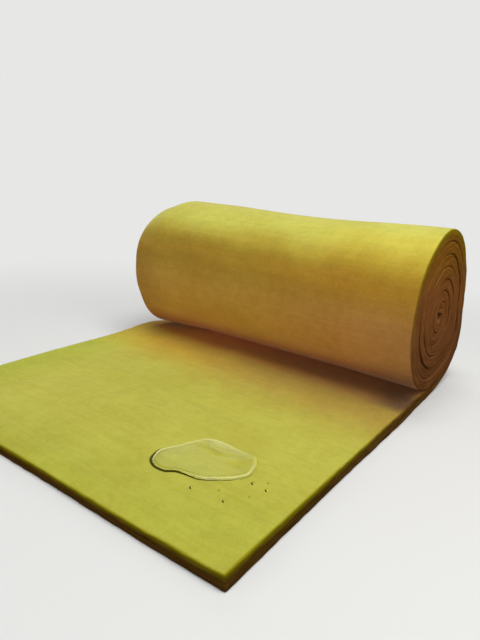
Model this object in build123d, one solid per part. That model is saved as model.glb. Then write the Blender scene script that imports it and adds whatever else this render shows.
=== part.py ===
"""A yellow glass wool insulation blanket, partly unrolled.

The blanket is one piece of felt. Its front stretch lies flat on the floor, and the rest is wound
into a roll that stands on the blanket's own outer turn. The section is a spiral of quarter arcs:
each arc is a quarter of the pitch smaller than the one outside it, so the felt keeps its thickness
and the turns stay one gap apart all the way to the eye.

Wound felt is pressed together between its side edges, so the roll is one turned solid with its eye
as the bore. The seam between the turns is open along the crease, and it is cut into both ends.

+X runs along the roll's axis, +Y from the open cut end towards the roll, and +Z up. The origin is on
the floor, at the middle of the space that the blanket takes. All sizes are in millimetres.
"""

import os

from build123d import *

# The felt
blanket_width = 1200.0
blanket_thickness = 40.0

# The stretch that lies flat, from the open cut end to where the outer turn leaves the floor
laid_length = 1195.0

# The roll: the felt's inner radius at its innermost quarter turn, the number of quarter turns, the
# air between one turn and the next, and how deep that seam is open at each end of the roll
eye_radius = 8.0
quarter_turns = 26
turn_gap = 1.0
seam_depth = 15.0

pitch = blanket_thickness + turn_gap
radius_step = pitch / 4
outer_radius = eye_radius + blanket_thickness + (quarter_turns - 1) * radius_step
overall_depth = laid_length + outer_radius
open_end_y = -overall_depth / 2
lift_off_y = open_end_y + laid_length


def turn_centre(turn):
    """Centre of a quarter turn, counted from the outside. The four centres are a small square's corners."""
    right = turn % 4 in (1, 2)
    raised = turn % 4 in (2, 3)
    return (
        lift_off_y + (radius_step if right else 0),
        outer_radius + (radius_step if raised else 0),
    )


def wound_line(turns, depth):
    """A line that runs in the felt at a depth below its outer face, as one quarter arc for each turn."""
    arcs = []
    for turn in turns:
        radius = outer_radius - depth - turn * radius_step
        arcs.append(CenterArc(turn_centre(turn), radius, 90 * (turn - 1), 90))
    return arcs


def body_section():
    """The blanket seen from its side edge: the flat stretch and the full roll, less its eye."""
    outside = wound_line(range(4), 0)
    underside = Line((open_end_y, 0), outside[0] @ 0)
    top_side = Line((open_end_y, blanket_thickness), (lift_off_y, blanket_thickness))
    open_end = Line(underside @ 0, top_side @ 0)
    crease = Line(outside[-1] @ 1, top_side @ 1)
    eye = wound_line(range(quarter_turns - 4, quarter_turns), blanket_thickness)
    inner_end = Line(eye[-1] @ 1, eye[0] @ 0)
    return make_face([underside, *outside, crease, top_side, open_end]) - make_face([*eye, inner_end])


def seam_section():
    """The gap between the turns, from the crease to the felt's inner end."""
    inner_turns = range(4, quarter_turns)
    felt_face = wound_line(inner_turns, 0)
    next_face = wound_line(inner_turns, -turn_gap)
    mouth = Line(felt_face[0] @ 0, next_face[0] @ 0)
    end = Line(felt_face[-1] @ 1, next_face[-1] @ 1)
    return make_face([mouth, *felt_face, end, *next_face])


def blanket():
    """The body from side edge to side edge, with the seam cut into both."""
    body = extrude(Plane.YZ * body_section(), blanket_width / 2, both=True)
    for side in (-1, 1):
        edge = Plane.YZ.offset(side * blanket_width / 2)
        body -= extrude(edge * seam_section(), -side * seam_depth)
    return body


def felt_length():
    """Length of the felt along its middle, which is the length that it is sold in."""
    middle = wound_line(range(quarter_turns), blanket_thickness / 2)
    return laid_length + sum(arc.length for arc in middle)


def main():
    os.makedirs("parts", exist_ok=True)
    felt = blanket()
    felt.label = "blanket"
    export_step(felt, "parts/blanket.step")
    box = felt.bounding_box()
    print("solids", len(felt.solids()), "volume", round(felt.volume), "size", box.size)
    print("felt length", round(felt_length()), "outer radius", round(outer_radius, 2))


main()
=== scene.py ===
import math

import bpy
import numpy as np
from mathutils import Matrix, Vector


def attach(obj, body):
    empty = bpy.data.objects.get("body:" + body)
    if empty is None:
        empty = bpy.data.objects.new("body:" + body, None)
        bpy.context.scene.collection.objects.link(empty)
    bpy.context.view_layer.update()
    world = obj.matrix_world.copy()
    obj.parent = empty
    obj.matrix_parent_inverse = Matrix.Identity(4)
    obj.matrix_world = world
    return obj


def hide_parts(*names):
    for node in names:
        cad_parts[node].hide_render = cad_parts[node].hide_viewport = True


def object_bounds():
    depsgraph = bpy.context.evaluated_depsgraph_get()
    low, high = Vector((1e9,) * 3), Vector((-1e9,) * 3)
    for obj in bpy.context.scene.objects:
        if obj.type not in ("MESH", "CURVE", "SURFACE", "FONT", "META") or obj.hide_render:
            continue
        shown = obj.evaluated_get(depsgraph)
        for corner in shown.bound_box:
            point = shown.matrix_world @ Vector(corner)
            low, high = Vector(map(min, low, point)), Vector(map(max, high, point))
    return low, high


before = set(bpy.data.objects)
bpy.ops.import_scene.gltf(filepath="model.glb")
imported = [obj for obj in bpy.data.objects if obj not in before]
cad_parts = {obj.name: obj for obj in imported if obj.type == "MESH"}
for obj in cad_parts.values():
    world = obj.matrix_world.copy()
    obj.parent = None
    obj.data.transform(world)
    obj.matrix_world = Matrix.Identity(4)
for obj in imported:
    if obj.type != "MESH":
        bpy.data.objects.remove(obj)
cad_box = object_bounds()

# The insulation blanket in metres: +X along the roll's axis, +Y from the open cut end to the roll.
# Places in the felt are given as s, the length along it from the open end, u, across its width,
# and v, through its thickness, from the face that the roll shows (-) to the face that lies up (+).
# A pair of numbers is a band, within which something sets in or fades out. It is a band of s where
# its name says ALONG, of u where it says ACROSS, and of height where it says HEIGHTS. A share is
# given as a few places and its values there.

MM = 0.001
TINY = 1e-9

# Sizes that the solid is built from
THICKNESS = 40 * MM
TURN_GAP = 1 * MM
QUARTER_TURNS = 26

# The rest comes from the solid's box
LOW, HIGH = cad_box
WIDTH = HIGH.x - LOW.x
HALF_WIDTH = WIDTH / 2
RADIUS_STEP = (THICKNESS + TURN_GAP) / 4
OUTER_RADIUS = (HIGH.z + RADIUS_STEP) / 2
OPEN_END_Y = LOW.y
LIFT_OFF_Y = HIGH.y - OUTER_RADIUS
LAID_LENGTH = LIFT_OFF_Y - OPEN_END_Y
ROLL_AXIS_Y = LIFT_OFF_Y + RADIUS_STEP / 2
ROLL_AXIS_Z = OUTER_RADIUS + RADIUS_STEP / 2

# How the soft roll has settled: its top leans forward
LEAN = 25 * MM
LEAN_HEIGHTS = (0.33, 0.55)

# Its front bellies out, most at the right
BELLY = 14 * MM
BELLY_SHARE = ((-0.6, 0.6), (0.25, 1.6))
BELLY_START_HEIGHTS = (0.15, 0.38)
BELLY_END_HEIGHTS = (0.42, 0.60)
BELLY_BEFORE_AXIS = (0.05, 0.20)

# Its foot spreads back, and in front it is tucked in, except at its left end
BACK_SPREAD = 90 * MM
BACK_HEIGHTS = (0.09, 0.35)
BACK_BEHIND_AXIS = (0.0, 0.13)
FOOT_TUCK = 24 * MM
TUCK_SHARE = ((-0.6, -0.35, 0.3, 0.6), (-0.7, 1.0, 1.0, 0.35))
TUCK_HEIGHTS = (0.05, 0.22)
TUCK_BEFORE_AXIS = (0.0, 0.09)

# Its left end has sunk in, mostly at the top
LEFT_DROOP = 31 * MM
DROOP_REACH = 0.10
DROOP_PAST_END = 0.01
DROOP_HEIGHTS = (0.37, 0.60)
FOOT_DROOP = 0.1 * LEFT_DROOP
FOOT_DROOP_REACH = 0.16
FOOT_DROOP_HEIGHTS = (0.10, 0.30)

# Its top dips a little half way, and rises to the right
MIDDLE_DIP = 7 * MM
DIP_STARTS = (-0.35, 0.05)
DIP_ENDS = (0.10, 0.50)
RIGHT_RISE = 5 * MM
RISE_ACROSS = (0.20, 0.60)
TOP_HEIGHTS = (0.36, 0.56)

# How the laid felt lies: its left edge has spread out and lifted
LEFT_REACH = 0.20
LEFT_FLARE = 16 * MM
LEFT_FLARE_SHARE = ((0.2, 0.6, 0.85, 1.0, 1.2, 1.5), (0.5, 1.0, 1.0, 2.1, 2.1, 0.0))
LEFT_LIFT = 5 * MM
LEFT_LIFT_SHARE = ((-0.75, -0.40, 0.0, 0.28), (0.0, 1.0, 1.0, 2.2))

# Its near right corner has spread, less at the top, and so has the foot of its right edge
RIGHT_REACH = 0.12
RIGHT_FLARE = 3.5 * MM
RIGHT_FLARE_END = (0.0, 0.35)
FLARE_LOSS_AT_TOP = 0.5
RIGHT_FOOT_SPREAD = 3.5 * MM
RIGHT_FOOT_END = (LAID_LENGTH - 0.3, LAID_LENGTH)

# Its open end is pressed thin, and that end's left part is cut a little short
END_PRESS = 14 * MM
END_PRESS_SHARE = ((-0.6, -0.2, 0.38, 0.48, 0.55, 0.6), (0.6, 0.88, 0.75, 0.42, 0.35, 0.0))
END_PRESS_END = (-10 * MM, 50 * MM)
SHORT_CUT = 5 * MM
SHORT_CUT_LEFTWARD = (-0.45, 0.1)
SHORT_CUT_END = (0.0, 0.3)

# It is even where the roll lies on it, and nearly level where the puddle stands on it
UNDER_ROLL = (LIFT_OFF_Y - 0.14, LIFT_OFF_Y - 0.05)
PUDDLE_PLACE = (0.325, -0.46)
PUDDLE_REACH = 0.16
PUDDLE_LEVELLING = 0.9

# Bumps of the felt, each as height, spacing and seed
LAID_BUMPS = ((1.8 * MM, 0.33, 11), (1.0 * MM, 0.11, 12), (0.5 * MM, 0.04, 13))
EDGE_BUMPS = ((2.2 * MM, 0.45, 21), (1.0 * MM, 0.12, 22))
TURN_BUMPS = ((3.0 * MM, 0.9, 23),)
ROLL_BUMPS = ((3.0 * MM, (0.5, 0.25, 0.25), 31), (1.2 * MM, (0.2, 0.1, 0.1), 32))
WALL_BUMPS = ((0.7 * MM, (0.05, 0.05, 5 * MM), 41), (0.8 * MM, (0.025, 0.025, 14 * MM), 42))
EDGE_REACH = 90 * MM
SIDES_APART = 7.0
TURNS_START = (LAID_LENGTH - 0.1, LAID_LENGTH + 0.6)
ROLL_BUMPS_HEIGHTS = (0.05, 0.22)

# How far apart the mesh points are along the felt, across it and, in tight turns, round the roll
LENGTH_SPACING = 7 * MM
WIDTH_SPACING = 9 * MM
EDGE_SPACING = 6 * MM
MOST_TURN_ANGLE = math.radians(5)

# The cut edges are rounded, and the two front corners are worn
EDGE_RADIUS = 4.5 * MM
EDGE_ANGLES = np.radians([0, 30, 60, 90])
WALL_ROWS = 8
CORNER_WEAR = 1.2 * MM


# Noise

CELL_PRIMES = np.array([73856093, 19349663, 83492791], dtype=np.uint64)
SEED_PRIME = 2654435761
FIRST_MIX = np.uint64(2246822519)
FIRST_SHIFT = np.uint64(15)
SECOND_MIX = np.uint64(3266489917)
SECOND_SHIFT = np.uint64(13)
WORD = 2**32
STEPS = 2**16
CELLS_MOVED = 1000


def random_at(cells, seed):
    """A random value from -1 to 1 for each whole-number cell."""
    h = np.bitwise_xor.reduce(cells.astype(np.uint64) * CELL_PRIMES, axis=-1)
    h = (h ^ np.uint64(seed * SEED_PRIME % WORD)) * FIRST_MIX % np.uint64(WORD)
    h = (h ^ (h >> FIRST_SHIFT)) * SECOND_MIX % np.uint64(WORD)
    h = h ^ (h >> SECOND_SHIFT)
    return (h % np.uint64(STEPS)).astype(float) * 2 / (STEPS - 1) - 1


def noise(points, spacing, seed):
    """Smooth random values from -1 to 1 at points, whose bumps are spacing apart on each axis."""
    p = np.asarray(points, float) / np.asarray(spacing, float) + CELLS_MOVED
    cell = np.floor(p)
    t = p - cell
    t = t * t * t * (t * (t * 6 - 15) + 10)
    total = np.zeros(len(p))
    for corner in np.ndindex(2, 2, 2):
        offset = np.array(corner)
        weight = np.prod(np.where(offset, t, 1 - t), axis=1)
        total += weight * random_at(cell + offset, seed)
    return total


def bumps(points, sizes):
    """Bumps of several sizes laid over each other. Each size has a height, a spacing and a seed."""
    return sum(height * noise(points, spacing, seed) for height, spacing, seed in sizes)


def smooth_step(x, low, high):
    """Rises smoothly from 0 at low to 1 at high."""
    t = np.clip((x - low) / (high - low), 0, 1)
    return t * t * (3 - 2 * t)


def smooth_fall(x, low, high):
    """Falls smoothly from 1 at low to 0 at high."""
    return 1 - smooth_step(x, low, high)


def towards_side(x, reach, past=0.0):
    """Rises from 0 to 1 on the last stretch before the side edge that x points to, or past it."""
    return smooth_step(x, HALF_WIDTH - reach, HALF_WIDTH + past)


# The felt's path, seen from its side edge

quarter = np.arange(QUARTER_TURNS)
middle_radius = OUTER_RADIUS - THICKNESS / 2 - quarter * RADIUS_STEP
quarter_start = LAID_LENGTH + np.concatenate([[0], np.cumsum(middle_radius * math.pi / 2)])
centre_y = LIFT_OFF_Y + np.where(np.isin(quarter % 4, (1, 2)), RADIUS_STEP, 0)
centre_z = OUTER_RADIUS + np.where(np.isin(quarter % 4, (2, 3)), RADIUS_STEP, 0)
ROLL_TOP = quarter_start[2]
OUTER_TURN_END = quarter_start[4]
FELT_LENGTH = quarter_start[-1]


def on_path(s):
    """Place (y, z) of the felt's middle line at s, and the direction towards its upper face."""
    k = np.clip(np.searchsorted(quarter_start, s, side="right") - 1, 0, QUARTER_TURNS - 1)
    angle = (k - 1) * math.pi / 2 + (s - quarter_start[k]) / middle_radius[k]
    laid = s < LAID_LENGTH
    y = np.where(laid, OPEN_END_Y + s, centre_y[k] + middle_radius[k] * np.cos(angle))
    z = np.where(laid, THICKNESS / 2, centre_z[k] + middle_radius[k] * np.sin(angle))
    up_y = np.where(laid, 0, -np.cos(angle))
    up_z = np.where(laid, 1, -np.sin(angle))
    return y, z, up_y, up_z


def felt_stations():
    """Values of s for the rows of mesh points, closer together in the tight inner turns."""
    laid_rows = round((LAID_LENGTH - EDGE_SPACING) / LENGTH_SPACING)
    rows = [[0.0], np.linspace(EDGE_SPACING, LAID_LENGTH, laid_rows, endpoint=False)]
    for k in range(QUARTER_TURNS):
        spacing = min(LENGTH_SPACING, MOST_TURN_ANGLE * middle_radius[k])
        count = round(middle_radius[k] * math.pi / 2 / spacing)
        rows.append(np.linspace(quarter_start[k], quarter_start[k + 1], count, endpoint=False))
    rows.append([FELT_LENGTH])
    return np.concatenate(rows)


def across_stations():
    """Values of u for the columns of mesh points."""
    inner = HALF_WIDTH - EDGE_SPACING
    count = round(2 * inner / WIDTH_SPACING) + 1
    return np.concatenate([[-HALF_WIDTH], np.linspace(-inner, inner, count), [HALF_WIDTH]])


def wall_profile():
    """Rows of a cut wall from the lower face to the upper one: v, and how far the row is set in."""
    v = THICKNESS / 2 - EDGE_RADIUS + EDGE_RADIUS * np.sin(EDGE_ANGLES)
    inset = EDGE_RADIUS - EDGE_RADIUS * np.cos(EDGE_ANGLES)
    middle = np.linspace(-v[0], v[0], WALL_ROWS + 2)[1:-1]
    v = np.concatenate([-v[::-1], middle, v])
    inset = np.concatenate([inset[::-1], np.zeros(WALL_ROWS), inset])
    return v, inset


# Unevenness of the felt

def laid_relief(x, y):
    """How much the laid felt's upper face stands above or below its even height."""
    waves = bumps(np.stack([x, y, np.zeros_like(x)], 1), LAID_BUMPS)
    to_puddle = np.hypot(x - PUDDLE_PLACE[0], y - PUDDLE_PLACE[1])
    waves *= 1 - PUDDLE_LEVELLING * np.exp(-(to_puddle / PUDDLE_REACH)**2)
    end_share = np.interp(x, *END_PRESS_SHARE)
    pressed = -END_PRESS * end_share * smooth_fall(y - OPEN_END_Y, *END_PRESS_END)
    lifted = LEFT_LIFT * np.interp(y, *LEFT_LIFT_SHARE) * towards_side(-x, LEFT_REACH)
    return (waves + pressed + lifted) * smooth_fall(y, *UNDER_ROLL)


def roll_sag(x, y, z):
    """How far the roll's soft felt has moved along Y: its top leans forward, and its foot spreads."""
    behind = y - ROLL_AXIS_Y
    before = -behind
    lean = -LEAN * smooth_step(z, *LEAN_HEIGHTS)
    belly = -BELLY * np.interp(x, *BELLY_SHARE) * smooth_step(before, *BELLY_BEFORE_AXIS)
    belly *= smooth_step(z, *BELLY_START_HEIGHTS) * smooth_fall(z, *BELLY_END_HEIGHTS)
    back = BACK_SPREAD * smooth_fall(z, *BACK_HEIGHTS) * smooth_step(behind, *BACK_BEHIND_AXIS)
    front = FOOT_TUCK * np.interp(x, *TUCK_SHARE)
    front *= smooth_fall(z, *TUCK_HEIGHTS) * smooth_step(before, *TUCK_BEFORE_AXIS)
    return lean + belly + back + front


def left_droop(x, z):
    """How far the roll's left end has sunk towards its axis."""
    top = LEFT_DROOP * towards_side(-x, DROOP_REACH, DROOP_PAST_END) * smooth_step(z, *DROOP_HEIGHTS)
    foot = FOOT_DROOP * towards_side(-x, FOOT_DROOP_REACH) * smooth_fall(z, *FOOT_DROOP_HEIGHTS)
    return top + foot


def top_rise(x, z):
    """How far the roll's top stands above its even height."""
    dip = MIDDLE_DIP * smooth_step(x, *DIP_STARTS) * smooth_fall(x, *DIP_ENDS)
    rise = RIGHT_RISE * smooth_step(x, *RISE_ACROSS)
    return (rise - dip) * smooth_step(z, *TOP_HEIGHTS)


def side_spread(s, u, share_up):
    """How far the side edges have moved along X. They wander, each turn on its own, and spread."""
    side = np.sign(u)
    path = np.stack([s, side * SIDES_APART, np.zeros_like(s)], 1)
    wander = bumps(path, EDGE_BUMPS) + bumps(path, TURN_BUMPS) * smooth_step(s, *TURNS_START)
    wander *= side * towards_side(np.abs(u), EDGE_REACH)
    left = LEFT_FLARE * np.interp(s, *LEFT_FLARE_SHARE) * towards_side(-u, LEFT_REACH)
    right = RIGHT_FLARE * smooth_fall(s, *RIGHT_FLARE_END) * (1 - FLARE_LOSS_AT_TOP * share_up)
    right += RIGHT_FOOT_SPREAD * smooth_fall(s, *RIGHT_FOOT_END) * (1 - share_up)
    return wander - left + right * towards_side(u, RIGHT_REACH)


def shaped(s, u, v):
    """World place of felt points: the even spiral, made as uneven as soft felt is."""
    y, z, up_y, up_z = on_path(s)
    y = y + up_y * v
    z = z + up_z * v
    share_up = np.clip(v / THICKNESS + 0.5, 0, 1)
    x = u + side_spread(s, u, share_up)
    y += SHORT_CUT * smooth_step(-u, *SHORT_CUT_LEFTWARD) * smooth_fall(s, *SHORT_CUT_END)
    laid = s < LAID_LENGTH
    z += np.where(laid, laid_relief(u, y) * share_up, 0)

    # The roll sags, and swells and sinks unevenly round its axis
    sag = np.where(laid, 0, roll_sag(x, y, z))
    dy = y - ROLL_AXIS_Y
    dz = z - ROLL_AXIS_Z
    radius = np.hypot(dy, dz) + TINY
    swell = bumps(np.stack([u, y, z], 1), ROLL_BUMPS) * smooth_step(z, *ROLL_BUMPS_HEIGHTS)
    swell = np.where(laid, 0, swell - left_droop(x, z) + top_rise(x, z)) * radius / OUTER_RADIUS
    y += dy / radius * swell + sag
    z += dz / radius * swell
    return np.stack([x, y, z], 1)


class FeltMesh:
    """The whole blanket as one closed mesh. A belt of cut walls goes round it, between two faces."""

    def __init__(self):
        self.rows = felt_stations()
        self.columns = across_stations()
        self.coords = []
        self.cut = []
        self.belt = self.add_belt()
        self.faces = self.wall_faces()
        self.wall_count = len(self.faces)

        # The laid stretch shows its upper face, and the roll shows the other face of its outer turn
        crease_row = int(np.searchsorted(self.rows, LAID_LENGTH))
        turn_row = int(np.searchsorted(self.rows, OUTER_TURN_END))
        upper = self.face_grid(-1, THICKNESS / 2, 0, crease_row)
        self.faces += [face[::-1] for face in upper]
        self.faces += self.face_grid(0, -THICKNESS / 2, crease_row, turn_row)

        self.coords = np.concatenate(self.coords)
        self.cut = np.concatenate(self.cut)
        s, u, v = self.coords.T
        self.places = shaped(np.clip(s, 0, FELT_LENGTH), u, v)
        self.places[:, 1] += np.where(s < 0, s, 0)

    def add(self, s, u, v, is_cut):
        """Adds points, and returns their numbers."""
        first = sum(len(some) for some in self.coords)
        s, u, v, is_cut = np.broadcast_arrays(s, u, v, is_cut)
        self.coords.append(np.stack([s, u, v], 1).astype(float))
        self.cut.append(is_cut.astype(float))
        return np.arange(first, first + len(s))

    def add_belt(self):
        """Rows of points up the cut walls. Each row goes along the open end, the right side, the
        inner end and the left side. Where a wall rounds into a face that shows, it is partly cut."""
        front = [(0.0, u) for u in self.columns]
        right = [(s, HALF_WIDTH) for s in self.rows[1:]]
        left = [(s, -HALF_WIDTH) for s in self.rows[:0:-1]]
        s, u = np.array(front + right + left).T
        at_front = s == 0
        at_side = np.abs(u) == HALF_WIDTH
        at_end = s == FELT_LENGTH
        belt = []
        for v, inset in zip(*wall_profile()):
            showing = 1 - inset / EDGE_RADIUS
            if v > 0:
                face_shows = s < LAID_LENGTH
            else:
                face_shows = (s > LAID_LENGTH) & (s < OUTER_TURN_END)
            proud = bumps(np.stack([s, u, np.full_like(s, v)], 1), WALL_BUMPS) * showing - inset
            proud -= np.where(at_front & at_side, CORNER_WEAR, 0)
            moved_s = s - np.where(at_front, proud, 0) + np.where(at_end, proud, 0)
            moved_u = u + np.where(at_side, np.sign(u) * proud, 0)
            belt.append(self.add(moved_s, moved_u, v, np.where(face_shows, showing, 1.0)))
        return np.array(belt)

    def wall_faces(self):
        """Faces between the rows of the belt."""
        faces = []
        for low, high in zip(self.belt, self.belt[1:]):
            faces += zip(low, np.roll(low, -1), np.roll(high, -1), high)
        return faces

    def face_grid(self, level, v, first_row, last_row):
        """Fills one face of the felt: closely between two rows, and with single strips elsewhere."""
        edge = self.belt[level]
        columns = len(self.columns)
        steps = np.arange(len(self.rows) - 1)
        right = edge[np.concatenate([[columns - 1], columns + steps])]
        left = edge[np.concatenate([[0], len(edge) - 1 - steps])]
        grid = {0: edge[:columns]}
        for i in range(max(first_row, 1), last_row + 1):
            inner = self.add(self.rows[i], self.columns[1:-1], v, 0.0)
            grid[i] = np.concatenate([[left[i]], inner, [right[i]]])
        faces = []
        for i in range(len(steps)):
            if first_row <= i < last_row:
                faces += zip(grid[i], grid[i + 1], grid[i + 1][1:], grid[i][1:])
            elif i + 1 == first_row:
                faces.append((left[i], *grid[i + 1], right[i]))
            elif i == last_row:
                faces.append((left[i + 1], right[i + 1], *grid[i][::-1]))
            else:
                faces.append((left[i], left[i + 1], right[i + 1], right[i]))
        return faces


def new_object(name, places, faces):
    """A smooth-shaded mesh object in the scene."""
    mesh = bpy.data.meshes.new(name)
    mesh.from_pydata([tuple(p) for p in places], [], [tuple(int(i) for i in f) for f in faces])
    mesh.validate()
    mesh.shade_smooth()
    made = bpy.data.objects.new(name, mesh)
    bpy.context.scene.collection.objects.link(made)
    return made


def keep_on_points(piece, name, values):
    """Keeps a number or a vector for each point of a piece, for its material to read."""
    kind, field = ("FLOAT_VECTOR", "vector") if values.ndim > 1 else ("FLOAT", "value")
    piece.data.attributes.new(name, kind, "POINT").data.foreach_set(field, values.ravel())


felt_mesh = FeltMesh()
felt = new_object("blanket_felt", felt_mesh.places, felt_mesh.faces)
keep_on_points(felt, "felt_place", felt_mesh.coords)
keep_on_points(felt, "cut_wall", felt_mesh.cut)


# Materials

class Nodes:
    """The node tree of a material or of the world, with short calls for the nodes used here."""

    def __init__(self, owner):
        owner.use_nodes = True
        self.owner = owner
        self.tree = owner.node_tree
        self.tree.nodes.clear()

    def add(self, kind, inputs=None, **settings):
        """A new node. Each input is linked to another node's output, or gets a plain value."""
        node = self.tree.nodes.new(kind)
        for key, value in settings.items():
            setattr(node, key, value)
        for key, value in (inputs or {}).items():
            if isinstance(value, bpy.types.NodeSocket):
                self.tree.links.new(value, node.inputs[key])
            else:
                node.inputs[key].default_value = value
        return node

    def maths(self, operation, *values):
        return self.add("ShaderNodeMath", dict(enumerate(values)), operation=operation).outputs[0]

    def times(self, a, b):
        return self.maths("MULTIPLY", a, b)

    def vector_maths(self, operation, *values):
        node = self.add("ShaderNodeVectorMath", dict(enumerate(values)), operation=operation)
        return node.outputs["Value" if operation == "LENGTH" else "Vector"]

    def split(self, vector):
        return self.add("ShaderNodeSeparateXYZ", {0: vector}).outputs

    def noise(self, vector, scale, detail=2.0, roughness=0.5, distortion=0.0, output="Fac"):
        inputs = {"Vector": vector, "Scale": scale, "Detail": detail}
        inputs.update({"Roughness": roughness, "Distortion": distortion})
        return self.add("ShaderNodeTexNoise", inputs).outputs[output]

    def stretched_noise(self, vector, stretch, detail, roughness):
        """Noise with its own fineness along each axis."""
        return self.noise(self.vector_maths("MULTIPLY", vector, stretch), 1.0, detail, roughness)

    def spread(self, value, low, high, to_low=0.0, to_high=1.0):
        """Goes smoothly from to_low to to_high while the value goes from low to high."""
        inputs = {"Value": value, "From Min": low, "From Max": high}
        inputs.update({"To Min": to_low, "To Max": to_high})
        return self.add("ShaderNodeMapRange", inputs, interpolation_type="SMOOTHSTEP").outputs[0]

    def fall(self, value, low, high, most=1.0):
        """Goes smoothly from most down to 0 while the value goes from low to high."""
        return self.spread(value, low, high, most, 0.0)

    def blend(self, share, a, b, mode="MIX"):
        node = self.add("ShaderNodeMix", {0: share, 6: a, 7: b}, data_type="RGBA", blend_type=mode)
        return node.outputs[2]

    def tint(self, share, colour, tint):
        return self.blend(share, colour, tint, "MULTIPLY")

    def mix_shaders(self, share, a, b):
        return self.add("ShaderNodeMixShader", {0: share, 1: a.outputs[0], 2: b.outputs[0]})

    def seen_directly(self):
        """1 for camera, glossy and transmission rays, which see the pale surroundings."""
        path = self.add("ShaderNodeLightPath")
        seen = path.outputs["Is Camera Ray"]
        for kind in ("Is Glossy Ray", "Is Transmission Ray"):
            seen = self.maths("MAXIMUM", seen, path.outputs[kind])
        return seen

    def finish(self, surface, output="ShaderNodeOutputMaterial"):
        """Makes a shader the surface, and returns the material or the world."""
        self.add(output, {"Surface": surface.outputs[0]})
        return self.owner


def before_roll(start, end):
    """A band along the laid felt, given by how far before the roll it starts and ends."""
    return LAID_LENGTH - start, LAID_LENGTH - end


# Tones of the roll's face: lemon yellow at its lit top, then olive, amber, and orange brown at its
# foot.
# These are painted shade, which turns the face darker and more orange down its front.
# Bands named down are lengths along the felt from the roll's top, and those named across are u.
LEMON_OUTER = (0.61, 0.60, 0.10, 1)
OLIVE_OUTER = (0.50, 0.395, 0.043, 1)
OLIVE_DOWN = (0.13, 0.23)
OLIVE_RAISED = (-24 * MM, 4 * MM)
OLIVE_RAISED_ACROSS = (-0.35, 0.0)
GOLDEN_TINT = (1.05, 0.95, 0.74, 1)
GOLDEN_ACROSS = (0.12, 0.35)
GOLDEN_DOWN = (0.05, 0.13)
AMBER_OUTER_LEFT = (0.46, 0.275, 0.024, 1)
AMBER_OUTER_RIGHT = (0.545, 0.282, 0.026, 1)
AMBER_DOWN = (0.212, 0.275)
FOLD_SHADE = (0.86, 0.92, 0.75, 1)
FOLD_DOWN = 0.262
FOLD_REACH = (0.005, 0.045)
LOW_LEFT = (0.73, 0.425, 0.092, 1)
LOW_RIGHT = (0.76, 0.375, 0.140, 1)
LOW_DOWN = (0.315, 0.475)
FOOT_LEFT = (0.70, 0.235, 0.006, 1)
FOOT_RIGHT = (0.62, 0.185, 0.024, 1)
FOOT_DOWN = (0.565, 0.67)
# Painted light, which lifts the shade where the roll's foot meets the laid felt
CONTACT_LIGHT_LEFT = (1.10, 0.97, 0.80, 1)
CONTACT_LIGHT_RIGHT = (1.36, 1.12, 0.85, 1)
CONTACT_ACROSS = (-0.55, -0.20)
CONTACT_DOWN = (0.66, 0.74)
RIGHT_FOOT_SHADE = (0.76, 0.76, 0.95, 1)
RIGHT_FOOT_ACROSS = (0.33, 0.55)
RIGHT_FOOT_DOWN = (0.52, 0.61)
LEFT_END_SHADE = (0.87, 0.83, 0.78, 1)
LEFT_END_ACROSS = (-0.57, -0.42)
LEFT_END_DOWN = (0.26, 0.36)
RIGHTWARD_ACROSS = (-0.1, 0.5)
RIGHT_TONES_LOWERED = 16 * MM

# Tones of the laid face from its open end to the roll: lemon yellow, amber, and those of the crease.
# The amber and crease tones are the roll's painted shadow, darker towards the right edge, with
# painted light where the felt meets the roll; the left edge and the open end get painted shade.
# They lie askew, and reach further from the roll at its right end.
LEMON_UPPER = (0.495, 0.490, 0.064, 1)
AMBER_UPPER_LEFT = (0.55, 0.343, 0.012, 1)
AMBER_UPPER_RIGHT = (0.39, 0.268, 0.034, 1)
AMBER_ALONG = before_roll(0.59, 0.30)
AMBER_ACROSS = (-0.45, 0.20)
CREASE_SHADE_LEFT = (0.76, 0.380, 0.018, 1)
CREASE_SHADE_RIGHT = (0.46, 0.240, 0.055, 1)
CREASE_ALONG = before_roll(0.265, 0.175)
CREASE_ACROSS = (-0.45, 0.35)
# Darker painted shadow towards the right edge
CREASE_END = (0.13, 0.045, 0.022, 1)
CREASE_END_ALONG = before_roll(0.17, 0.08)
CREASE_END_ACROSS = (0.44, 0.58)
CREASE_END_AT_ROLL = 0.35
CONTACT_ALONG = before_roll(0.15, 0.02)
LEFT_EDGE_SHADE = (0.86, 0.97, 0.62, 1)
LEFT_EDGE_ACROSS = (-0.57, -0.40)
OPEN_END_SHADE = (0.88, 0.92, 0.78, 1)
OPEN_END_ALONG = (0.0, 0.30)
TONE_SLANT = 0.08
OPEN_END_SLANT = -0.15
BETWEEN_FACES = (-10 * MM, 10 * MM)

# Unevenness of both faces: the tones' borders wobble, and tints darken them in patches and streaks.
# A noise has its scale or its stretch, its detail, its roughness and, for patches, its distortion.
# A tint has the band of its noise in which it sets in, its strength and its colour. Light fibres lie
# every way.
BROAD_SCALE = 5.0
TONE_WOBBLE = 0.05
PATCHES = (28.0, 4.0, 0.6, 0.6)
STREAKS = ((90.0, 5.0, 90.0), 3.0, 0.6)
BROAD_TINT = (0.35, 0.65, 1.0, (0.95, 0.93, 0.85, 1))
PATCH_TINT = (0.35, 0.70, 0.5, (0.82, 0.80, 0.70, 1))
STREAK_TINT = (0.35, 0.75, 0.35, (0.80, 0.76, 0.62, 1))
FIBRE_STRETCHES = ((1100.0, 90.0, 300.0), (90.0, 1100.0, 300.0), (500.0, 500.0, 300.0))
FIBRE_DETAIL = (2.0, 0.6)
FIBRE_BENDS_SCALE = 22.0
FIBRE_BEND = (0.05, 0.05, 0.05)
FIBRE_COLOUR = (0.82, 0.76, 0.30, 1)
LIGHT_FIBRES = (0.55, 0.75)
FIBRE_STRENGTH = 0.22
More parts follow.
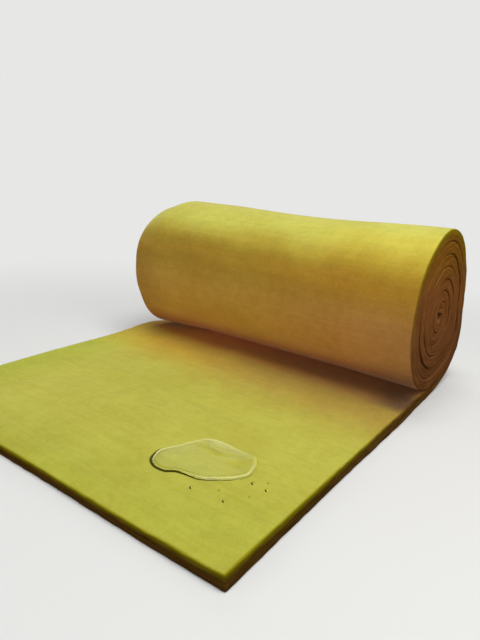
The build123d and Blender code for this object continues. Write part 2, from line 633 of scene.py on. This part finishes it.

# Cut walls have torn layers, dark on the laid felt and browner on the roll's ends; their darkness is
# partly the cut felt's own browner colour and partly painted shade, with more painted shade low on the
# roll's ends
LAYERS = ((14.0, 14.0, 330.0), 4.0, 0.65)
LIGHT_LAYERS = (0.3, 0.7)
TORN = ((120.0, 120.0, 240.0), 3.0, 0.6)
LIGHT_TORN = (0.4, 0.7)
TORN_STRENGTH = 0.4
LAID_WALL_DARK = (0.062, 0.029, 0.005, 1)
LAID_WALL_LIGHT = (0.124, 0.063, 0.012, 1)
LAID_WALL_FAR = (0.185, 0.096, 0.020, 1)
LAID_WALL_FAR_ALONG = (0.3, 0.8)
ROLL_WALL_DARK = (0.170, 0.059, 0.014, 1)
ROLL_WALL_LIGHT = (0.375, 0.148, 0.042, 1)
ROLL_WALL_ALONG = before_roll(0.15, -0.25)
ROLL_WALL_TOP_TINT = (1.0, 1.15, 0.55, 1)
ROLL_WALL_TOP_HEIGHTS = (0.38, 0.52)
ROLL_WALL_LOW_SHADE = (0.76, 0.78, 0.95, 1)
ROLL_WALL_LOW_HEIGHTS = (0.12, 0.38)

# Turns meet in seams darkened with painted shade. A cut wall is olive near the laid felt's upper face,
# and on the roll's ends near the outer face, most at the top. Depths are under the nearest face.
SEAM_SHADE = (0.075, 0.028, 0.005, 1)
SEAM_DEPTHS = (0.5 * MM, 4 * MM)
SEAM_STRENGTH = 0.25
OLIVE_EDGE = (0.25, 0.215, 0.004, 1)
LAID_EDGE_DEPTHS = (1 * MM, 20 * MM)
LAID_EDGE_STRENGTH = 0.95
LAID_EDGE_END = before_roll(0.75, 0.25)
LOWER_HALF = (-1 * MM, 1 * MM)
RIM_THROUGH = (4 * MM - THICKNESS / 2, 12 * MM)
RIM_HEIGHTS = (0.20, 0.55)
RIM_STRENGTHS = (0.05, 0.75)
RIM_END = (OUTER_TURN_END - 0.05, OUTER_TURN_END + 0.02)

# Fine relief and gloss of the felt
FIBRE_RELIEF = 0.5
PATCH_RELIEF = 1.2
LAYER_RELIEF = 1.4
RELIEF_STRENGTH = 0.6
RELIEF_HEIGHT = 1.5 * MM
WOOL_ROUGHNESS = 0.92
SHEEN_ROUGHNESS = 0.45
SHEEN_TINT = (1.0, 0.95, 0.72, 1)


class Wool(Nodes):
    """The felt's nodes. Its tones follow the place in the felt, and on cut walls the height too."""

    def __init__(self, name):
        super().__init__(bpy.data.materials.new(name))
        self.place = self.add("ShaderNodeAttribute", attribute_name="felt_place").outputs["Vector"]
        self.cut_wall = self.add("ShaderNodeAttribute", attribute_name="cut_wall").outputs["Fac"]
        self.along, self.across, self.depth = self.split(self.place)
        self.height = self.split(self.add("ShaderNodeTexCoord").outputs["Object"])[2]
        self.broad = self.noise(self.place, BROAD_SCALE)
        self.wobble = self.maths("MULTIPLY_ADD", self.broad, TONE_WOBBLE, -TONE_WOBBLE / 2)
        self.patches = self.noise(self.place, *PATCHES)
        self.fibres = self.fibre_noise()
        self.layers = self.stretched_noise(self.place, *LAYERS)
        self.torn = self.stretched_noise(self.place, *TORN)
        self.wound = self.spread(self.along, *ROLL_WALL_ALONG)
        # Painted light where the roll's foot meets the laid felt
        self.contact_light = self.left_to_right(CONTACT_ACROSS, CONTACT_LIGHT_LEFT, CONTACT_LIGHT_RIGHT)

    def left_to_right(self, band, left, right):
        """A tone that changes across the felt."""
        return self.blend(self.spread(self.across, *band), left, right)

    def fibre_noise(self):
        """Short bent fibres, in three sets that lie different ways."""
        bend = self.noise(self.place, FIBRE_BENDS_SCALE, output="Color")
        bent = self.vector_maths("MULTIPLY_ADD", bend, FIBRE_BEND, self.place)
        sets = [self.stretched_noise(bent, stretch, *FIBRE_DETAIL) for stretch in FIBRE_STRETCHES]
        return self.maths("MAXIMUM", self.maths("MAXIMUM", sets[0], sets[1]), sets[2])

    def top_colour(self, down, right):
        """The roll's lit top, and the olive and amber of painted shade that follow it on both sides.
        """
        to_top = self.maths("ABSOLUTE", self.maths("ADD", down, self.wobble))
        to_top = self.maths("MULTIPLY_ADD", right, -RIGHT_TONES_LOWERED, to_top)
        raised = self.spread(self.across, *OLIVE_RAISED_ACROSS, *OLIVE_RAISED)
        olive = self.spread(self.maths("ADD", to_top, raised), *OLIVE_DOWN)
        colour = self.blend(olive, LEMON_OUTER, OLIVE_OUTER)
        golden = self.spread(self.across, *GOLDEN_ACROSS)
        golden = self.times(golden, self.spread(to_top, *GOLDEN_DOWN))
        colour = self.tint(golden, colour, GOLDEN_TINT)
        amber = self.blend(right, AMBER_OUTER_LEFT, AMBER_OUTER_RIGHT)
        colour = self.blend(self.spread(to_top, *AMBER_DOWN), colour, amber)
        # Painted shade of a soft fold across the roll's face
        to_fold = self.maths("ABSOLUTE", self.maths("SUBTRACT", to_top, FOLD_DOWN))
        return self.tint(self.fall(to_fold, *FOLD_REACH), colour, FOLD_SHADE)

    def outer_colour(self):
        """The face that the roll shows, with painted shade down its front and painted light at its
        foot.
        """
        down = self.maths("SUBTRACT", self.along, ROLL_TOP)
        right = self.spread(self.across, *RIGHTWARD_ACROSS)
        colour = self.top_colour(down, right)
        low = self.blend(right, LOW_LEFT, LOW_RIGHT)
        colour = self.blend(self.spread(down, *LOW_DOWN), colour, low)
        foot = self.blend(right, FOOT_LEFT, FOOT_RIGHT)
        colour = self.blend(self.spread(down, *FOOT_DOWN), colour, foot)
        # Painted light at the roll's foot
        colour = self.tint(self.spread(down, *CONTACT_DOWN), colour, self.contact_light)
        # Painted shade at the right end of the roll's foot
        right_foot = self.spread(self.across, *RIGHT_FOOT_ACROSS)
        right_foot = self.times(right_foot, self.spread(down, *RIGHT_FOOT_DOWN))
        colour = self.tint(right_foot, colour, RIGHT_FOOT_SHADE)
        # Painted shade on the roll's face towards its left end
        left_end = self.fall(self.across, *LEFT_END_ACROSS)
        left_end = self.times(left_end, self.spread(down, *LEFT_END_DOWN))
        return self.tint(left_end, colour, LEFT_END_SHADE)

    def upper_colour(self):
        """The face that lies up, with the roll's painted shadow near the crease, and painted shade at
        its left edge and open end.
        """
        askew = self.maths("MULTIPLY_ADD", self.across, TONE_SLANT, self.along)
        amber = self.left_to_right(AMBER_ACROSS, AMBER_UPPER_LEFT, AMBER_UPPER_RIGHT)
        amber_share = self.spread(self.maths("ADD", askew, self.wobble), *AMBER_ALONG)
        colour = self.blend(amber_share, LEMON_UPPER, amber)
        # Painted shadow of the roll near the crease
        crease = self.left_to_right(CREASE_ACROSS, CREASE_SHADE_LEFT, CREASE_SHADE_RIGHT)
        crease_end = self.spread(self.along, *CREASE_END_ALONG, 1.0, CREASE_END_AT_ROLL)
        crease_end = self.times(self.spread(self.across, *CREASE_END_ACROSS), crease_end)
        crease = self.blend(crease_end, crease, CREASE_END)
        colour = self.blend(self.spread(askew, *CREASE_ALONG), colour, crease)
        # Painted light on the laid felt next to the roll's foot
        colour = self.tint(self.spread(self.along, *CONTACT_ALONG), colour, self.contact_light)
        # Painted shade towards the left edge and towards the open end
        colour = self.tint(self.fall(self.across, *LEFT_EDGE_ACROSS), colour, LEFT_EDGE_SHADE)
        from_end = self.maths("MULTIPLY_ADD", self.across, OPEN_END_SLANT, self.along)
        return self.tint(self.fall(from_end, *OPEN_END_ALONG), colour, OPEN_END_SHADE)

    def face_colour(self):
        """Both faces, with their patches, streaks and light fibres."""
        upper = self.spread(self.depth, *BETWEEN_FACES)
        colour = self.blend(upper, self.outer_colour(), self.upper_colour())
        streaks = self.stretched_noise(self.place, *STREAKS)
        tints = ((self.broad, BROAD_TINT), (self.patches, PATCH_TINT), (streaks, STREAK_TINT))
        for uneven, (low, high, strength, tint) in tints:
            colour = self.tint(self.spread(uneven, low, high, 0.0, strength), colour, tint)
        light = self.times(self.spread(self.fibres, *LIGHT_FIBRES), FIBRE_STRENGTH)
        return self.blend(light, colour, FIBRE_COLOUR)

    def olive_share(self, to_face):
        """How olive a cut wall is near the faces that are seen."""
        near_roll = self.spread(self.along, *LAID_EDGE_END)
        hidden = self.maths("MAXIMUM", near_roll, self.fall(self.depth, *LOWER_HALF))
        laid_edge = self.fall(to_face, *LAID_EDGE_DEPTHS, LAID_EDGE_STRENGTH)
        laid_edge = self.times(laid_edge, self.maths("SUBTRACT", 1.0, hidden))
        rim = self.maths("MINIMUM", self.fall(self.along, *RIM_END), self.wound)
        rim = self.times(rim, self.fall(self.depth, *RIM_THROUGH))
        rim = self.times(rim, self.spread(self.height, *RIM_HEIGHTS, *RIM_STRENGTHS))
        return self.maths("MAXIMUM", laid_edge, rim)

    def wall_colour(self):
        """The cut walls, with their layers, olive edges and seams, darkened partly with painted shade.
        """
        dark = self.blend(self.wound, LAID_WALL_DARK, ROLL_WALL_DARK)
        far = self.spread(self.along, *LAID_WALL_FAR_ALONG)
        light = self.blend(far, LAID_WALL_LIGHT, LAID_WALL_FAR)
        light = self.blend(self.wound, light, ROLL_WALL_LIGHT)
        colour = self.blend(self.spread(self.layers, *LIGHT_LAYERS), dark, light)
        colour = self.blend(self.spread(self.torn, *LIGHT_TORN, 0.0, TORN_STRENGTH), colour, light)
        # Painted shade low on the roll's ends
        low_down = self.times(self.fall(self.height, *ROLL_WALL_LOW_HEIGHTS), self.wound)
        colour = self.tint(low_down, colour, ROLL_WALL_LOW_SHADE)
        high_up = self.times(self.spread(self.height, *ROLL_WALL_TOP_HEIGHTS), self.wound)
        colour = self.tint(high_up, colour, ROLL_WALL_TOP_TINT)
        to_face = self.maths("SUBTRACT", THICKNESS / 2, self.maths("ABSOLUTE", self.depth))
        colour = self.blend(self.olive_share(to_face), colour, OLIVE_EDGE)
        # Painted shade in the seams between turns
        seam = self.times(self.fall(to_face, *SEAM_DEPTHS, SEAM_STRENGTH), self.wound)
        return self.blend(seam, colour, SEAM_SHADE)

    def relief(self):
        """Fine relief: fibres and patches on the faces, and layers on the cut walls."""
        fibres = self.times(self.fibres, FIBRE_RELIEF)
        face = self.maths("ADD", fibres, self.times(self.patches, PATCH_RELIEF))
        wall = self.maths("ADD", self.times(self.layers, LAYER_RELIEF), self.torn)
        height = self.add("ShaderNodeMix", {0: self.cut_wall, 2: face, 3: wall}, data_type="FLOAT")
        inputs = {"Strength": RELIEF_STRENGTH, "Distance": RELIEF_HEIGHT, "Height": height.outputs[0]}
        return self.add("ShaderNodeBump", inputs).outputs[0]


def wool_material(name, specular, sheen):
    """Felt. Its faces shine a little where they are seen at a low angle, and its cut walls don't."""
    n = Wool(name)
    return n.finish(n.add("ShaderNodeBsdfPrincipled", {
        "Base Color": n.blend(n.cut_wall, n.face_colour(), n.wall_colour()),
        "Normal": n.relief(),
        "Roughness": WOOL_ROUGHNESS,
        "Specular IOR Level": specular,
        "Sheen Weight": sheen,
        "Sheen Roughness": SHEEN_ROUGHNESS,
        "Sheen Tint": SHEEN_TINT,
    }))


felt.data.materials.append(wool_material("wool_face", specular=0.08, sheen=0.30))
felt.data.materials.append(wool_material("wool_cut", specular=0.0, sheen=0.0))
material_of_face = np.zeros(len(felt.data.polygons), dtype=np.int32)
material_of_face[:felt_mesh.wall_count] = 1
felt.data.polygons.foreach_set("material_index", material_of_face)
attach(felt, "root")
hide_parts("blanket")


# Water that stands on the laid felt: a shallow puddle with a raised rim, and drops beside it

# Points on the puddle's edge, counterclockwise: x, y, how much painted highlight lies within it, how
# much painted shade lies on the rim outside
PUDDLE_EDGE = (
    (0.245, -0.572, 0.1, 0.8), (0.281, -0.572, 0.0, 0.75), (0.305, -0.555, 0.0, 0.75),
    (0.334, -0.549, 0.2, 0.6), (0.367, -0.543, 0.6, 0.45), (0.402, -0.518, 0.8, 0.3),
    (0.435, -0.483, 0.9, 0.15), (0.449, -0.441, 0.8, 0.0), (0.419, -0.374, 0.3, 0.0),
    (0.356, -0.367, 0.7, 0.0), (0.296, -0.362, 0.9, 0.0), (0.257, -0.375, 0.8, 0.0),
    (0.234, -0.418, 0.7, 0.0), (0.222, -0.452, 0.8, 0.3), (0.201, -0.500, 1.0, 0.85),
    (0.203, -0.528, 1.0, 1.0), (0.217, -0.556, 0.7, 1.0),
)
PUDDLE_CREST = 5.5 * MM
PUDDLE_LEVEL = 3.5 * MM
PUDDLE_RIM = 7 * MM
PUDDLE_RINGS = 12
EDGE_POINT_SPACING = 2 * MM
CURVE_STEPS = 40

# Drops: x, y, radius. Their level and rim are shares of the radius.
DROPS = (
    (0.375, -0.580, 4.2 * MM), (0.465, -0.573, 4.2 * MM), (0.473, -0.471, 4.4 * MM),
    (0.514, -0.474, 4.2 * MM), (0.500, -0.445, 2.4 * MM), (0.430, -0.545, 2.2 * MM),
    (0.498, -0.520, 2.4 * MM),
)
DROP_LEVEL = 0.98
DROP_RIM = 0.38
DROP_RINGS = 2
DROP_POINTS = 28

# The rim stands a little in the felt, is undercut outside, and slopes down inside
WATER_FOOT = THICKNESS - 4 * MM
START_DEPTH = 0.3 * MM
UNDERCUT = math.radians(35)
RIM_ANGLES = np.linspace(-UNDERCUT, math.pi / 2, 11)
SLOPE_WIDTH = 1.4
SLOPE_STEPS = 6

# The even middle ripples a little, in full from a quarter of the way to its centre
WATER_BUMPS = ((0.35 * MM, 0.035, 51),)
RIPPLE_RISE = 4

# The rim is darkened with painted shade, and made a little wider, on the side that faces away from the
# light
DARK_SIDE = np.array([-0.75, -0.66])
DARK_SIDE_BAND = (-0.35, 0.90)
DARK_TOP = math.radians(90)
DARK_RIM_EXTRA = 0.2

# A pale line of painted highlight lies within the rim, and a fainter veil of painted reflection
# reaches in from the far side
PALE_LINE = (7.2 * MM, 18 * MM)
VEIL_BAND = (15 * MM, 75 * MM)
VEIL_SHARE = 0.7
PALE_STARTS = (0.1, 0.7)
PALE_SHARE = 0.75
CLEAR_WATER = (0.97, 0.98, 0.94, 1)
GLINT_WATER = (0.80, 0.81, 0.30, 1)
RIM_SHADE_WATER = (0.062, 0.053, 0.002, 1)


def closed_curve(points, spacing):
    """Evenly spaced points on the smooth closed curve that runs through the given points."""
    p1 = np.array(points)
    p0, p2, p3 = (np.roll(p1, shift, axis=0) for shift in (1, -1, -2))
    fine = []
    for t in np.linspace(0, 1, CURVE_STEPS, endpoint=False):
        fine.append(p1 + t * (p2 - p0) / 2 + t**2 * (2 * p0 - 5 * p1 + 4 * p2 - p3) / 2
                    + t**3 * (3 * p1 - p0 - 3 * p2 + p3) / 2)
    fine = np.stack(fine, 1).reshape(-1, p1.shape[1])
    fine = np.vstack([fine, fine[:1]])
    run = np.concatenate([[0], np.cumsum(np.hypot(*np.diff(fine[:, :2], axis=0).T))])
    at = np.arange(0, run[-1] - spacing / 2, spacing)
    return np.stack([np.interp(at, run, column) for column in fine.T], 1)


def circle(x, y, radius):
    """Points round a drop."""
    angle = np.arange(DROP_POINTS) * 2 * math.pi / DROP_POINTS
    return np.stack([x + radius * np.cos(angle), y + radius * np.sin(angle)], 1)


def inward(outline):
    """Unit directions from a counterclockwise outline's points towards its inside."""
    along = np.roll(outline, -1, axis=0) - np.roll(outline, 1, axis=0)
    side = np.stack([-along[:, 1], along[:, 0]], 1)
    return side / np.hypot(*side.T)[:, None]


def at_height(flat, height):
    """Points over places on the floor, at one height or at a height each."""
    return np.column_stack([flat, np.broadcast_to(height, len(flat))])


def water_loops(outline, dark_share, crest, level, rim, rings):
    """Loops of points up the rim, over its crest and in to the even middle, and the two centres."""
    inside = inward(outline)
    base = THICKNESS + laid_relief(*outline.T)
    start = base - START_DEPTH
    top = base.mean() + crest
    middle = base.mean() + level
    rim_width = rim * (1 + DARK_RIM_EXTRA * dark_share)[:, None]
    loops = [at_height(outline, WATER_FOOT)]
    for angle in RIM_ANGLES:
        share = (math.sin(angle) + math.sin(UNDERCUT)) / (1 + math.sin(UNDERCUT))
        flat = outline + inside * rim_width * (1 - math.cos(angle))
        loops.append(at_height(flat, start + (top - start) * share))
    for t in np.linspace(0, 1, SLOPE_STEPS + 1)[1:]:
        flat = outline + inside * (rim_width + rim * SLOPE_WIDTH * t)
        loops.append(at_height(flat, top + (level - crest) * smooth_step(t, 0, 1)))
    centre = outline.mean(axis=0)
    from_centre = loops[-1][:, :2] - centre
    for t in np.linspace(1, 0, rings + 1)[1:-1]:
        flat = centre + from_centre * t
        ripple = bumps(at_height(flat, 0.0), WATER_BUMPS)
        loops.append(at_height(flat, middle + ripple * min(1, RIPPLE_RISE * (1 - t))))
    return loops, at_height([centre, centre], [WATER_FOOT, middle])


def water_paleness(loops, outline, pale, rim):
    """How much painted highlight the water has at each point of its loops."""
    start, full = (rim * share for share in PALE_STARTS)
    far_side = np.clip(-inward(outline)[:, 1], 0, 1)
    paleness = []
    for loop in loops:
        from_edge = np.hypot(*(loop[:, :2] - outline).T)
        line = smooth_fall(from_edge, *PALE_LINE)
        veil = VEIL_SHARE * far_side * smooth_fall(from_edge, *VEIL_BAND)
        paleness.append(pale * smooth_step(from_edge, start, full) * np.maximum(line, veil))
    return paleness


def water_faces(loop_count, count, dark_share):
    """Faces between the loops and to the two centres, and which of them get painted shade."""
    dark_below = -UNDERCUT + (DARK_TOP + UNDERCUT) * dark_share
    faces = []
    dark = []
    for r in range(loop_count - 1):
        for i in range(count):
            j = (i + 1) % count
            faces.append((r * count + i, r * count + j, (r + 1) * count + j, (r + 1) * count + i))
            dark.append(r < len(RIM_ANGLES) and RIM_ANGLES[r] < dark_below[i])
    last_row = (loop_count - 1) * count
    low_centre = loop_count * count
    for i in range(count):
        j = (i + 1) % count
        faces.append((low_centre, j, i))
        faces.append((low_centre + 1, last_row + i, last_row + j))
        dark += [False, False]
    return faces, dark


def water_body(outline, pale, dark_share, crest, level, rim, rings):
    """Standing water: its points, its faces, which of them get painted shade, and how much painted
    highlight each point has.
    """
    loops, centres = water_loops(outline, dark_share, crest, level, rim, rings)
    faces, dark = water_faces(len(loops), len(outline), dark_share)
    paleness = water_paleness(loops, outline, pale, rim)
    return np.vstack(loops + [centres]), faces, dark, np.concatenate(paleness + [[0.0, 0.0]])


def puddle_body():
    edge = closed_curve(PUDDLE_EDGE, EDGE_POINT_SPACING)
    pale, dark_share = np.clip(edge[:, 2:], 0, 1).T
    sizes = (PUDDLE_CREST, PUDDLE_LEVEL, PUDDLE_RIM, PUDDLE_RINGS)
    return water_body(edge[:, :2], pale, dark_share, *sizes)


def drop_body(x, y, radius):
    edge = circle(x, y, radius)
    dark_share = smooth_step(-inward(edge) @ DARK_SIDE, *DARK_SIDE_BAND)
    sizes = (radius, radius * DROP_LEVEL, radius * DROP_RIM, DROP_RINGS)
    return water_body(edge, np.zeros(len(edge)), dark_share, *sizes)


def joined(bodies):
    """Several bodies of water as one."""
    places = np.vstack([body[0] for body in bodies])
    first = np.cumsum([0] + [len(body[0]) for body in bodies])
    faces = [tuple(i + start for i in face) for body, start in zip(bodies, first) for face in body[1]]
    dark = [is_dark for body in bodies for is_dark in body[2]]
    return places, faces, dark, np.concatenate([body[3] for body in bodies])


def water_material():
    """Clear water, with a pale veil of painted highlight and reflection within its rim."""
    n = Nodes(bpy.data.materials.new("water"))
    clear = n.add("ShaderNodeBsdfPrincipled", {
        "Base Color": CLEAR_WATER,
        "Roughness": 0.03,
        "IOR": 1.333,
        "Transmission Weight": 1.0,
        "Specular IOR Level": 0.1,
    })
    veil = n.add("ShaderNodeBsdfDiffuse", {"Color": GLINT_WATER})
    pale = n.add("ShaderNodeAttribute", attribute_name="pale").outputs["Fac"]
    return n.finish(n.mix_shaders(n.times(pale, PALE_SHARE), clear, veil))


def water_edge_material():
    """Painted shade on the dark side of a rim."""
    n = Nodes(bpy.data.materials.new("water_rim_shade"))
    inputs = {"Base Color": RIM_SHADE_WATER, "Roughness": 0.5, "Specular IOR Level": 0.05}
    return n.finish(n.add("ShaderNodeBsdfPrincipled", inputs))


water_materials = (water_material(), water_edge_material())
drops = joined([drop_body(*drop) for drop in DROPS])
for name, (places, faces, dark, paleness) in (("water_puddle", puddle_body()), ("water_drops", drops)):
    piece = new_object(name, places, faces)
    for material in water_materials:
        piece.data.materials.append(material)
    # Faces on the rim's dark side get the painted shade
    piece.data.polygons.foreach_set("material_index", np.array(dark, dtype=np.int32))
    keep_on_points(piece, "pale", paleness)
    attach(piece, "root")


# Floor, backdrop and light

BACKDROP = (0.80, 0.80, 0.79, 1)
FLOOR_SEEN = (0.74, 0.755, 0.775, 1)
FLOOR_BOUNCE = (0.20, 0.20, 0.195, 1)
FLOOR_SIZE = 30.0
FLOOR_FADE = (1.1, 2.8)
AMBIENT = (1.0, 0.94, 0.86, 1)
AMBIENT_LEVEL = 0.10

# Square soft lights: direction from the blanket, distance, size, how much each adds to a surface
# that faces it, colour, and whether glossy surfaces mirror it
LIGHTS = {
    "overhead": ((0.20, -0.10, 0.97), 9.0, 6.5, 0.87, (1.0, 1.0, 0.97), True),
    "front_fill": ((-0.30, -0.93, 0.15), 5.0, 3.5, 0.28, (1.0, 0.92, 0.84), True),
    "side_fill": ((0.74, -0.05, 0.67), 2.8, 1.4, 0.20, (1.0, 0.93, 0.84), True),
    "back_fill": ((-0.60, 0.70, 0.40), 5.0, 3.0, 0.22, (1.0, 0.97, 0.93), False),
}


def floor_material():
    """A plain floor that fades into the backdrop, and throws little light up onto the blanket."""
    n = Nodes(bpy.data.materials.new("plain_floor"))
    seen = n.seen_directly()
    surface = n.add("ShaderNodeBsdfDiffuse", {"Color": n.blend(seen, FLOOR_BOUNCE, FLOOR_SEEN)})
    glow = n.add("ShaderNodeEmission", {"Color": BACKDROP})
    distance = n.vector_maths("LENGTH", n.add("ShaderNodeTexCoord").outputs["Object"])
    far = n.spread(distance, *FLOOR_FADE)
    return n.finish(n.mix_shaders(n.times(far, seen), surface, glow))


def build_floor():
    half = FLOOR_SIZE / 2
    corners = [(-half, -half, 0), (half, -half, 0), (half, half, 0), (-half, half, 0)]
    floor = new_object("floor", corners, [(0, 1, 2, 3)])
    floor.data.materials.append(floor_material())


def build_world():
    n = Nodes(bpy.data.worlds.new("studio"))
    ambient = n.add("ShaderNodeBackground", {"Color": AMBIENT, "Strength": AMBIENT_LEVEL})
    backdrop = n.add("ShaderNodeBackground", {"Color": BACKDROP})
    surface = n.mix_shaders(n.seen_directly(), ambient, backdrop)
    bpy.context.scene.world = n.finish(surface, "ShaderNodeOutputWorld")


def area_light(name, towards, distance, size, level, colour, mirrored):
    data = bpy.data.lights.new(name, "AREA")
    data.shape = "SQUARE"
    data.size = size
    data.energy = level * math.pi**2 * distance**2
    data.color = colour
    light = bpy.data.objects.new(name, data)
    direction = Vector(towards).normalized()
    light.location = direction * distance
    light.rotation_euler = direction.to_track_quat("Z", "Y").to_euler()
    light.visible_camera = False
    light.visible_glossy = mirrored
    bpy.context.scene.collection.objects.link(light)


build_floor()
build_world()
for name, light in LIGHTS.items():
    area_light(name, *light)


# Camera, from the photograph's viewpoint

PICTURE = (480, 640)
FOCAL_PIXELS = 544.9
SENSOR_WIDTH = 36.0
CAMERA_PLACE = (1.078, -1.432, 0.759)
CAMERA_TURN = math.radians(34.96)
CAMERA_TILT = math.radians(-15.74)
CAMERA_ROLL = math.radians(3.61)


def build_camera():
    data = bpy.data.cameras.new("camera")
    data.sensor_width = SENSOR_WIDTH
    data.lens = FOCAL_PIXELS / max(PICTURE) * SENSOR_WIDTH
    camera = bpy.data.objects.new("camera", data)
    turn = Matrix.Rotation(CAMERA_TURN, 4, "Z")
    tilt = Matrix.Rotation(math.pi / 2 + CAMERA_TILT, 4, "X")
    roll = Matrix.Rotation(CAMERA_ROLL, 4, "Z")
    camera.matrix_world = Matrix.Translation(CAMERA_PLACE) @ turn @ tilt @ roll
    bpy.context.scene.collection.objects.link(camera)
    bpy.context.scene.camera = camera


build_camera()
bpy.context.scene.view_settings.view_transform = "Standard"
